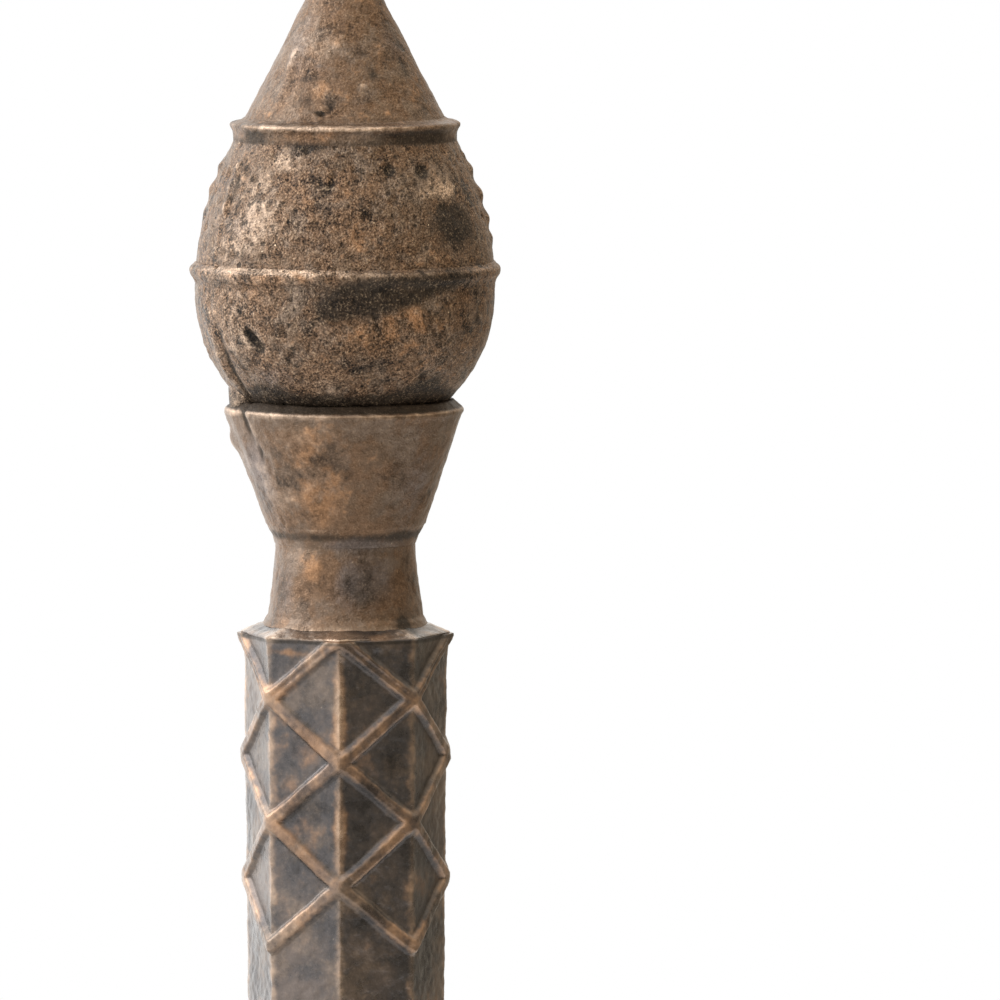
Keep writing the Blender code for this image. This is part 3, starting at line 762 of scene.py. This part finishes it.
def casting(name, points, slot, relief=0.0, bare_and_highlight=0.0, warm=0.0, levels=None, replaced=None):
    """Makes a closed mesh of a grid of points, pushed out by relief in metres and by the unevenness of the
    casting. It marks the crests, the soot and painted shade, the warm places, and the bare places and painted
    highlights for the material, and puts the piece in the place of its CAD node. levels numbers the rows of a
    lattice."""
    sizes = bpy.context.scene.minaret_sizes
    azimuth = np.arctan2(points[..., 0], -points[..., 1])
    radius = np.maximum(np.hypot(points[..., 0], points[..., 1]), MM)
    height = points[..., 2]
    push = relief + sizes.unevenness * fractal(points, WAVE_SIZE)
    push = push + sizes.roughness * fractal(points, LUMP_SIZE)
    push = push + marks_at(NUBS + SEAM + PITS + scattered_marks(), azimuth, height, radius) * MM
    points = points + directions(points) * push[..., None]
    points[..., 2] = np.maximum(points[..., 2], 0)
    height = points[..., 2]
    joint = min(JOINT_MARGIN, 0.15 * (height.max() - height.min()))
    from_joint = np.minimum(height.max() - height, height - height.min())
    crest = ((points - softened(points, CREST_PASSES)) * directions(points)).sum(-1) / MM
    marks = {
        "crest": crest * np.clip(from_joint / joint - 0.4, 0, 1),
        "soot_and_shade": marks_at(SOOT_AND_SHADE, azimuth, height, radius),
        "warm": marks_at(WARM_PLACES, azimuth, height, radius) + warm,
        "bare_and_highlight": marks_at(BARE_AND_HIGHLIGHT_PLACES, azimuth, height, radius) + bare_and_highlight,
    }
    rows, columns = points.shape[:2]
    if levels is None:
        faces = square_faces(rows, columns)
        used = np.ones((rows, columns), bool)
    else:
        faces = diamond_faces(levels, columns)
        used = (np.asarray(levels)[:, None] + np.arange(columns)) % 2 == 0
    for row, turn in ((0, 1), (rows - 1, -1)):
        ring = (np.arange(columns)[used[row]] + row * columns)[::turn]
        pole = rows * columns + (row > 0)
        faces += [[pole, int(a), int(b)] for a, b in zip(ring, np.roll(ring, -1))]
    corners = np.concatenate([points.reshape(-1, 3), [points[0].mean(0), points[-1].mean(0)]])
    kept = np.append(used.ravel(), [True, True])
    number = np.cumsum(kept) - 1
    mesh = bpy.data.meshes.new(name)
    mesh.from_pydata(corners[kept].tolist(), [], [[int(number[i]) for i in face] for face in faces])
    for key, grid in marks.items():
        data = np.append(np.broadcast_to(grid, (rows, columns)).ravel(), [0, 0])[kept]
        mesh.attributes.new(key, "FLOAT", "POINT").data.foreach_set("value", data.astype(np.float32))
    mesh.shade_smooth()
    mesh.set_sharp_from_angle(angle=SHARP_EDGE)
    mesh.materials.append(bronze(slot))
    piece = bpy.data.objects.new(name, mesh)
    bpy.context.scene.collection.objects.link(piece)
    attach(piece, "root")
    if replaced is not None:
        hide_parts(*replaced)


def arc(centre_radius, centre_height, radius, start, end, steps):
    """Points (radius, height) along a circle arc, from angle start to angle end above the horizontal."""
    angles = np.linspace(start, end, steps + 1)
    return [(centre_radius + radius * math.cos(a), centre_height + radius * math.sin(a)) for a in angles]


def curved(outline, steps=4):
    """A smooth curve through the points of an outline, as a Catmull-Rom spline."""
    known = np.array([outline[0], *outline, outline[-1]])
    points = []
    for before, start, end, after in zip(known, known[1:], known[2:], known[3:]):
        for t in np.arange(steps) / steps:
            bend = (2 * before - 5 * start + 4 * end - after) * t**2
            twist = (3 * start - before - 3 * end + after) * t**3
            points.append(start + ((end - before) * t + (bend + twist)) / 2)
    return [tuple(point) for point in points] + [tuple(outline[-1])]


def outline_points(outline, spacing):
    """The outline's points with more between them, so that none are further apart than spacing."""
    dense = [outline[0]]
    for (r0, z0), (r1, z1) in zip(outline, outline[1:]):
        steps = max(1, math.ceil(math.hypot(r1 - r0, z1 - z0) / spacing))
        dense += [(r0 + (r1 - r0) * i / steps, z0 + (z1 - z0) * i / steps) for i in range(1, steps + 1)]
    return np.array(dense)


def around(columns):
    """Angles from the front corner for this many columns."""
    return np.arange(columns) * 2 * math.pi / columns


def octagon(azimuth):
    """How far out an octagon reaches in each direction, 1 at its corners, which are softened a little."""
    from_face = (azimuth % SIDE_ANGLE) - SIDE_ANGLE / 2
    reach = math.cos(SIDE_ANGLE / 2) / np.cos(from_face)
    from_corner = SIDE_ANGLE / 2 - np.abs(from_face)
    return reach - CORNER_ROUNDING * np.exp(-((from_corner / CORNER_ROUNDING_ANGLE) ** 2))


def profile(points, wide, top):
    """An outline from (mm in from the widest radius, mm below the top) points."""
    return [(wide - inward * MM, top - below * MM) for inward, below in points]


def turned(outline, columns, spacing, section=None):
    """Grid of points of an outline of (radius, height) points, from top to bottom, spun round the axis.
    section says how far out it reaches in each direction."""
    rows = outline_points(outline, spacing)
    azimuth = around(columns)
    reach = np.ones(columns) if section is None else section(azimuth)
    x = rows[:, :1] * np.sin(azimuth) * reach
    y = -rows[:, :1] * np.cos(azimuth) * reach
    z = np.broadcast_to(rows[:, 1:], x.shape)
    return np.stack([x, y, z], -1)


def shaft_radius(drop):
    """Corner radius of the lattice shaft at this distance from its flared end."""
    length = top_of("shaft_upper") - foot_of("shaft_upper")
    radius = SHAFT_RADIUS - (SHAFT_RADIUS - SHAFT_WAIST_RADIUS) * drop / length
    rise = np.clip(1 - drop / SHAFT_FLARE_HEIGHT, 0, 1)
    return radius + (SHAFT_FLARE_RADIUS - SHAFT_RADIUS) * rise**2


def lattice_relief(drop, share, face_width):
    """Height of the strips, from 0 to 1, at a distance below the first crossing and a share of the width of a
    face from the corner of that crossing."""
    sizes = bpy.context.scene.minaret_sizes
    slope = math.atan(HALF_BAY / face_width)
    half = sizes.strip_width / 2
    height = np.zeros_like(drop)
    for k in range(HALF_BAYS):
        along = k + (share if k % 2 == 0 else 1 - share)
        off = np.abs(drop - along * HALF_BAY) * math.cos(slope)
        if k == HALF_BAYS - 1:
            past_end = drop > HALF_BAYS * HALF_BAY + (1 - share) * face_width / math.tan(slope)
            off = np.where(past_end, np.hypot((1 - share) * face_width, drop - HALF_BAYS * HALF_BAY), off)
        top = np.clip((half + STRIP_SKIRT - off) / STRIP_ROUNDING, 0, 1)
        strip = top * top * (3 - 2 * top)
        groove = np.exp(-((off / GROOVE_WIDTH) ** 2)) * np.clip(GROOVE_END - drop / HALF_BAY, 0, 1)
        height = np.maximum(height, strip * (1 - GROOVE_DEPTH * groove))
    return height


def lattice_shaft(name, flared_top):
    """A part of the octagonal shaft with its raised lattice, whose edges its points follow."""
    low, high = foot_of(name), top_of(name)
    length = high - low
    under_lip = LIP_GAP if flared_top else 0.0
    step = HALF_BAY / LATTICE_COLUMNS
    first = math.ceil((FIRST_CROSSING - under_lip) / step + 0.3)
    last = math.floor((length + FIRST_CROSSING) / step - 0.3)
    levels = np.arange(first - 1, last + 2)
    drops = np.clip(levels * step - FIRST_CROSSING, -under_lip, length)
    columns = EIGHT * LATTICE_COLUMNS
    azimuth = around(columns)
    share = (azimuth / SIDE_ANGLE) % 2
    share = np.where(share > 1, 2 - share, share)
    face_width = 2 * SHAFT_RADIUS * math.sin(SIDE_ANGLE / 2)
    drop, share = np.broadcast_arrays(drops[:, None], share)
    heights = high - drops if flared_top else low + drops
    radius = shaft_radius(drops)[:, None] * octagon(azimuth)
    upright = np.broadcast_to(heights[:, None], radius.shape)
    points = np.stack([radius * np.sin(azimuth), -radius * np.cos(azimuth), upright], -1)
    wander = fractal(points, WANDER_SIZE) * STRIP_WANDER
    strips = lattice_relief(drop + FIRST_CROSSING + wander, share, face_width)
    strips[-1] = 0
    relief = strips * bpy.context.scene.minaret_sizes.strip_relief
    corner = corner_wear(azimuth, radius) * (1 - strips)
    bare_and_highlight = strips * STRIP_WEAR + corner
    warm = strips * STRIP_WARMTH + corner * CORNER_WARMTH
    if not flared_top:
        points, relief, bare_and_highlight, warm, levels = (grid[::-1] for grid in (points, relief, bare_and_highlight, warm, levels))
    casting(name, points, "shaft_bronze", relief, bare_and_highlight, warm, levels, replaced=[name])


def corner_wear(azimuth, radius):
    """How bare the corners of an octagon are rubbed."""
    from_corner = SIDE_ANGLE / 2 - np.abs((azimuth % SIDE_ANGLE) - SIDE_ANGLE / 2)
    return CORNER_WEAR * np.exp(-((from_corner * radius / CORNER_WEAR_WIDTH) ** 2))


def stacked(name, outline):
    """An outline of (radius, height above its foot) points at its place in the stack, with its top face."""
    low = foot_of(name)
    if name in HIDDEN_RADII:
        outline = [(HIDDEN_RADII[name] * MM, height_of(name)), *outline]
    return [(radius, low + height) for radius, height in outline]


def octagonal(name, outline, spacing, slot):
    """An octagonal casting from its outline of (corner radius, height above its foot) points."""
    widest = max(radius for radius, _ in outline)
    columns = EIGHT * max(8, round(widest * SIDE_ANGLE / spacing))
    points = turned(stacked(name, outline), columns, spacing, octagon)
    wear = corner_wear(around(columns), np.hypot(points[..., 0], points[..., 1]))
    casting(name, points, slot, bare_and_highlight=wear, replaced=[name])


def round_casting(name, outline, spacing, slot, part_of=None):
    """A round casting from its outline of (radius, height above its foot) points. One that is only a part of
    another casting stands where that one does, and takes the place of no node."""
    widest = max(radius for radius, _ in outline)
    points = turned(stacked(part_of or name, outline), round(2 * math.pi * widest / spacing), spacing)
    casting(name, points, slot, replaced=None if part_of else [name])


def height_of(node):
    return top_of(node) - foot_of(node)


class MINARET_OT_foot(bpy.types.Operator):
    """Cast the octagonal foot: slab, step, plinth and cornice"""

    bl_idname = "minaret.foot"
    bl_label = "Foot"

    def execute(self, context):
        bevel_in, bevel_down = FOOT_BEVEL
        slab = radius_of("base_slab") - SLAB_INSET
        tall = height_of("base_slab")
        outline = [(slab - bevel_in, tall), (slab, tall - bevel_down), (slab, SLAB_ROUNDING)]
        octagonal("base_slab", outline + [(slab - SLAB_ROUNDING, 0)], FOOT_SPACING, "foot_bronze")
        step = radius_of("base_step") - STEP_INSET
        tall = height_of("base_step")
        outline = [(step - bevel_in, tall), (step, tall - bevel_down), (step, 0)]
        octagonal("base_step", outline, FOOT_SPACING, "foot_bronze")
        wall = radius_of("plinth") - PLINTH_REACH
        outline = [(wall, height_of("plinth"))]
        outline += [(wall + outward * MM, height * MM) for outward, height in PLINTH_MOULDING]
        octagonal("plinth", outline, FOOT_SPACING, "foot_bronze")
        edge = radius_of("plinth_cornice")
        tall = height_of("plinth_cornice")
        bevel_in, bevel_down = CORNICE_BEVEL
        outline = [(edge - bevel_in, tall), (edge, tall - bevel_down), (edge, tall - CORNICE_EDGE)]
        outline += [(edge - CORNICE_UNDERCUT[0], CORNICE_UNDERCUT[1]), (wall, 0)]
        octagonal("plinth_cornice", outline, PLAIN_SPACING, "foot_bronze")
        return {"FINISHED"}


class MINARET_OT_shaft(bpy.types.Operator):
    """Cast the octagonal shaft with its lattice, from the ring at its foot to the lip on its top"""

    bl_idname = "minaret.shaft"
    bl_label = "Shaft"

    def execute(self, context):
        bead = height_of("shaft_foot_ring") / 2
        reach = radius_of("shaft_foot_ring") - bead
        outline = arc(reach, bead, bead, math.pi / 2, -math.pi / 2, 16)
        octagonal("shaft_foot_ring", outline, MOULDED_SPACING, "shaft_bronze")
        lattice_shaft("shaft_lower", flared_top=False)
        outline = [(SHAFT_WAIST_RADIUS, height_of("shaft_middle")), (SHAFT_WAIST_RADIUS, 0)]
        outline += [(HIDDEN_RADII["shaft_middle"] * MM, 0)]
        octagonal("shaft_middle", outline, PLAIN_SPACING, "shaft_bronze")
        lattice_shaft("shaft_upper", flared_top=True)
        lip = radius_of("shaft_cap")
        tall = height_of("shaft_cap")
        edge = SINK + LIP_EDGE_HEIGHT
        outline = [(LIP_TOP_RADIUS, tall - 0.05 * MM)]
        outline += profile(((0.3, -0.1), (0, 0.1), (0.05, 0.35)), lip, edge)
        outline += [(SHAFT_FLARE_RADIUS, edge - 0.55 * MM), (SHAFT_FLARE_RADIUS - 0.1 * MM, 0)]
        octagonal("shaft_cap", outline, LIP_SPACING, "shaft_bronze")
        return {"FINISHED"}


class MINARET_OT_neck(bpy.types.Operator):
    """Cast the neck and the collar under the bulb"""

    bl_idname = "minaret.neck"
    bl_label = "Neck and collar"

    def execute(self, context):
        foot = radius_of("neck")
        tall = height_of("neck")
        shares = np.linspace(1, 0.12, 14)
        outline = [(WAIST_RADIUS + NECK_SPREAD * (1 - share) ** NECK_CURVE, share * tall) for share in shares]
        outline += [(foot + outward * MM, height * MM) for outward, height in NECK_FOOT]
        round_casting("neck", outline, MOULDED_SPACING, "collar_bronze")
        tall = height_of("collar_foot")
        wide = radius_of("collar_foot")
        outline = [(wide, tall), (wide - 0.55 * MM, 0.7 * tall), (wide - 1.2 * MM, 0.35 * tall)]
        outline += [(WAIST_RADIUS + 0.15 * MM, 0)]
        round_casting("collar_foot", outline, COLLAR_FOOT_SPACING, "collar_bronze")
        outline = profile(COLLAR_RIM, radius_of("collar"), height_of("collar"))
        round_casting("collar", outline + [(wide, 0)], MOULDED_SPACING, "collar_bronze")
        return {"FINISHED"}


class MINARET_OT_bulb(bpy.types.Operator):
    """Cast the bulb: its round lower half, the belt and the upper half"""

    bl_idname = "minaret.bulb"
    bl_label = "Bulb"

    def execute(self, context):
        centre = top_of("collar") + BULB_CENTRE_ABOVE_COLLAR
        low = foot_of("bulb_lower")
        tall = height_of("bulb_lower")
        start = math.asin((low + tall - centre) / BULB_RADIUS)
        end = -math.asin((centre - low) / BULB_RADIUS)
        outline = arc(0, centre - low, BULB_RADIUS, start, end, ARC_STEPS)
        round_casting("bulb_lower", outline, BULB_SPACING, "bulb_bronze")
        tall = height_of("belt")
        bead = profile(BELT_BEAD, radius_of("belt"), tall)
        outline = curved([(BULB_RADIUS - 0.05 * MM, tall)] + bead + [(BULB_RADIUS, 0)])
        round_casting("belt", outline, RING_SPACING, "bulb_bronze")
        low = foot_of("bulb_upper")
        tall = height_of("bulb_upper")
        start = math.asin((low + tall - centre) / SHOULDER_ARC_RADIUS)
        end = math.asin((low - centre) / SHOULDER_ARC_RADIUS)
        inset = BULB_RADIUS - SHOULDER_ARC_RADIUS
        shoulder = arc(inset, centre - low, SHOULDER_ARC_RADIUS, start, end, ARC_STEPS)
        fillet = [SHOULDER_FILLET * max(0, 1 - (tall - z) / SHOULDER_FILLET_HEIGHT) ** 2 for _, z in shoulder]
        outline = [(radius + more, z) for (radius, z), more in zip(shoulder, fillet)]
        round_casting("bulb_upper", outline, BULB_SPACING, "bulb_bronze")
        seam_flash()
        return {"FINISHED"}


def seam_flash():
    """A lump of spilt metal that bridges the notch between collar and bulb, at the seam of the mould."""
    name = "seam_flash"
    shape = turned(arc(0, 0, 1, math.pi / 2 - 0.05, 0.05 - math.pi / 2, 40), 60, 1)
    half_width, half_depth, half_height = FLASH_SIZE
    local = shape * np.array([half_width, half_depth, half_height])
    angle = math.radians(FLASH_AZIMUTH)
    outward = np.array([math.sin(angle), -math.cos(angle), 0])
    sideways = np.array([math.cos(angle), math.sin(angle), 0])
    centre = outward * FLASH_RADIUS + np.array([0, 0, FLASH_HEIGHT])
    points = centre + local[..., :1] * sideways - local[..., 1:2] * outward
    points[..., 2] += local[..., 2]
    casting(name, points, "bulb_bronze", bare_and_highlight=0.35)


class MINARET_OT_spire(bpy.types.Operator):
    """Cast the ring at the foot of the spire and the cone"""

    bl_idname = "minaret.spire"
    bl_label = "Spire"

    def execute(self, context):
        tall = height_of("rim_ring")
        rim = radius_of("rim_ring")
        cone = radius_of("spire_cone")
        bead = [(cone + 0.05 * MM, tall), (cone + 0.55 * MM, tall - 0.30 * MM)]
        bead += profile(RIM_BEAD, rim, tall) + [(rim - 0.6 * MM, 0)]
        round_casting("rim_ring", curved(bead), RING_SPACING, "spire_bronze")
        tall = height_of("spire_cone")
        tip = SPIRE_TIP_RADIUS
        outline = [(tip - SPIRE_TIP_ROUNDING, tall), (tip, tall - SPIRE_TIP_ROUNDING), (cone, 0)]
        round_casting("spire_cone", outline, BULB_SPACING, "spire_bronze")
        return {"FINISHED"}


def bead_casting(name, shape):
    """A bead of the finial, with a flat top that starts well inside it."""
    tall = height_of(name)
    wide = radius_of(name)
    outline = [(radius * wide, height * tall) for radius, height in shape]
    top = [(BEAD_TOP_SHARE * outline[0][0], tall)]
    round_casting(name, top + curved(outline), FINIAL_SPACING, "finial_bronze")


class MINARET_OT_finial(bpy.types.Operator):
    """Cast the beads of the finial and the crescent on them"""

    bl_idname = "minaret.finial"
    bl_label = "Finial"

    def execute(self, context):
        bead_casting("finial_ball", BALL)
        bead_casting("finial_teardrop", TEARDROP)
        bead_casting("finial_disc", DISC)
        bead_casting("finial_knob", KNOB)
        crescent_ring()
        crescent_foot()
        return {"FINISHED"}


def crescent_ring():
    """The crescent, an oval section swept between its outer circle and a raised inner one."""
    outer = radius_of("crescent") - CRESCENT_INSET
    hole = outer * CRESCENT_HOLE_SHARE
    rise = outer * CRESCENT_RISE_SHARE
    centre = top_of("crescent") - CRESCENT_TOP_INSET - outer
    sweep = math.pi - CRESCENT_TIP_ANGLE
    angle = np.linspace(-sweep, sweep, CRESCENT_STEPS)[:, None]
    turn = around(CRESCENT_COLUMNS)[None, :]
    up, side = -np.cos(angle), np.sin(angle)
    inner = rise * up + np.sqrt(hole**2 - (rise * side) ** 2)
    near_tip = (1 + up) / 2
    depth = CRESCENT_DEPTH + (CRESCENT_TIP_DEPTH - CRESCENT_DEPTH) * near_tip
    closing = np.sqrt(np.clip((sweep - np.abs(angle)) / CRESCENT_CLOSING, 0.02, 1))
    away = (outer + inner) / 2 + closing * (outer - inner) / 2 * np.cos(turn)
    across = closing * depth / 2 * np.sin(turn)
    points = np.stack([away * side, -across, centre + away * up], -1)
    casting("crescent", points, "finial_bronze", replaced=["crescent"])


def crescent_foot():
    """The round foot that the crescent stands on."""
    outline = curved([(radius * MM, height * MM) for radius, height in CRESCENT_FOOT])
    top = [(CRESCENT_FOOT_TOP, outline[0][1])]
    round_casting("crescent_foot", top + outline, CRESCENT_FOOT_SPACING, "finial_bronze", part_of="crescent")


def look_from(place, turn, pitch):
    """Puts the camera at a place, turned left by turn and down by pitch degrees from looking along +Y."""
    camera = bpy.data.objects.new("camera", bpy.data.cameras.new("camera"))
    bpy.context.scene.collection.objects.link(camera)
    camera.location = place
    camera.rotation_euler = Euler((math.radians(90 - pitch), 0, math.radians(turn)))
    camera.data.sensor_width = 36
    camera.data.lens = CAMERA_LENS
    bpy.context.scene.camera = camera


def soft_light(name, place, aim, side, power):
    """A square soft box."""
    light = bpy.data.lights.new(name, "AREA")
    light.size = side
    light.energy = power
    lamp = bpy.data.objects.new(name, light)
    bpy.context.scene.collection.objects.link(lamp)
    lamp.location = place
    lamp.rotation_euler = (Vector(aim) - Vector(place)).to_track_quat("-Z", "Y").to_euler()


class MINARET_OT_studio(bpy.types.Operator):
    """Set up the floor, the soft light and the camera"""

    bl_idname = "minaret.studio"
    bl_label = "Studio"

    def execute(self, context):
        scene = context.scene
        scene.view_settings.view_transform = "Standard"
        material = bpy.data.materials.new("pale_floor")
        nodes = Nodes(material)
        shader = {"Base Color": (*scene.minaret_colours.floor, 1.0), "Roughness": 0.9}
        surface = nodes.add("ShaderNodeBsdfPrincipled", None, shader)
        nodes.add("ShaderNodeOutputMaterial", None, {"Surface": surface})
        bpy.ops.mesh.primitive_circle_add(vertices=128, radius=FLOOR_RADIUS, fill_type="NGON")
        floor = context.object
        floor.name = "floor"
        floor.data.materials.append(material)

        belt_height = (foot_of("belt") + top_of("belt")) / 2
        side = math.radians(CAMERA_AZIMUTH)
        height = belt_height + CAMERA_DISTANCE * math.tan(math.radians(CAMERA_RISE))
        place = (CAMERA_DISTANCE * math.sin(side), -CAMERA_DISTANCE * math.cos(side), height)
        look_from(place, turn=CAMERA_AZIMUTH - FRAME_LEFT_OF_AXIS, pitch=CAMERA_PITCH)

        world = bpy.data.worlds.new("studio")
        scene.world = world
        nodes = Nodes(world)
        left = nodes.rise(self.facing(nodes, BRIGHT_SIDE), *BRIGHT_SPREAD)
        back = nodes.rise(self.facing(nodes, BACK_SIDE), *BACK_SPREAD)
        above = nodes.rise(self.facing(nodes, (0, 0, 1)), *OVERHEAD_SPREAD) * (1.0 - left)
        level = left * (BRIGHTEST - DIMMEST) + above * OVERHEAD + back * BACK_LEVEL + DIMMEST
        seen = nodes.add("ShaderNodeLightPath", output="Is Camera Ray")
        tint = nodes.mix(nodes.mix(WARM_TINT, COOL_TINT, left), (1, 1, 1), seen)
        strength = seen + (1.0 - seen) * level
        shader = nodes.add("ShaderNodeBackground", None, {"Color": tint, "Strength": strength})
        nodes.add("ShaderNodeOutputWorld", None, {"Surface": shader})
        soft_light("window", WINDOW_PLACE, WINDOW_AIM, WINDOW_SIDE, WINDOW_POWER)
        return {"FINISHED"}

    def facing(self, nodes, side):
        """How far a direction of the surroundings points to this side, 1 when straight at it."""
        aim = {0: nodes.add("ShaderNodeTexCoord", output="Generated"), 1: Vector(side).normalized()}
        return nodes.add("ShaderNodeVectorMath", {"operation": "DOT_PRODUCT"}, aim, output="Value")


class MINARET_PT_castings(bpy.types.Panel):
    """The castings of the minaret"""

    bl_idname = "MINARET_PT_castings"
    bl_label = "Bronze minaret"
    bl_space_type = "VIEW_3D"
    bl_region_type = "UI"
    bl_category = "Minaret"

    def draw(self, context):
        scene = context.scene
        for group in (scene.minaret_sizes, scene.minaret_colours):
            box = self.layout.box()
            for name in group.__annotations__:
                box.prop(group, name)
        for operator in OPERATORS:
            self.layout.operator(operator.bl_idname)


OPERATORS = (
    MINARET_OT_studio,
    MINARET_OT_foot,
    MINARET_OT_shaft,
    MINARET_OT_neck,
    MINARET_OT_bulb,
    MINARET_OT_spire,
    MINARET_OT_finial,
)
CLASSES = (MinaretSizes, MinaretColours, *OPERATORS, MINARET_PT_castings)


def register():
    for item in CLASSES:
        bpy.utils.register_class(item)
    bpy.types.Scene.minaret_sizes = PointerProperty(type=MinaretSizes)
    bpy.types.Scene.minaret_colours = PointerProperty(type=MinaretColours)


def unregister():
    del bpy.types.Scene.minaret_colours
    del bpy.types.Scene.minaret_sizes
    for item in reversed(CLASSES):
        bpy.utils.unregister_class(item)


def main():
    register()
    bpy.ops.minaret.studio()
    bpy.ops.minaret.foot()
    bpy.ops.minaret.shaft()
    bpy.ops.minaret.neck()
    bpy.ops.minaret.bulb()
    bpy.ops.minaret.spire()
    bpy.ops.minaret.finial()


if __name__ == "__main__":
    main()
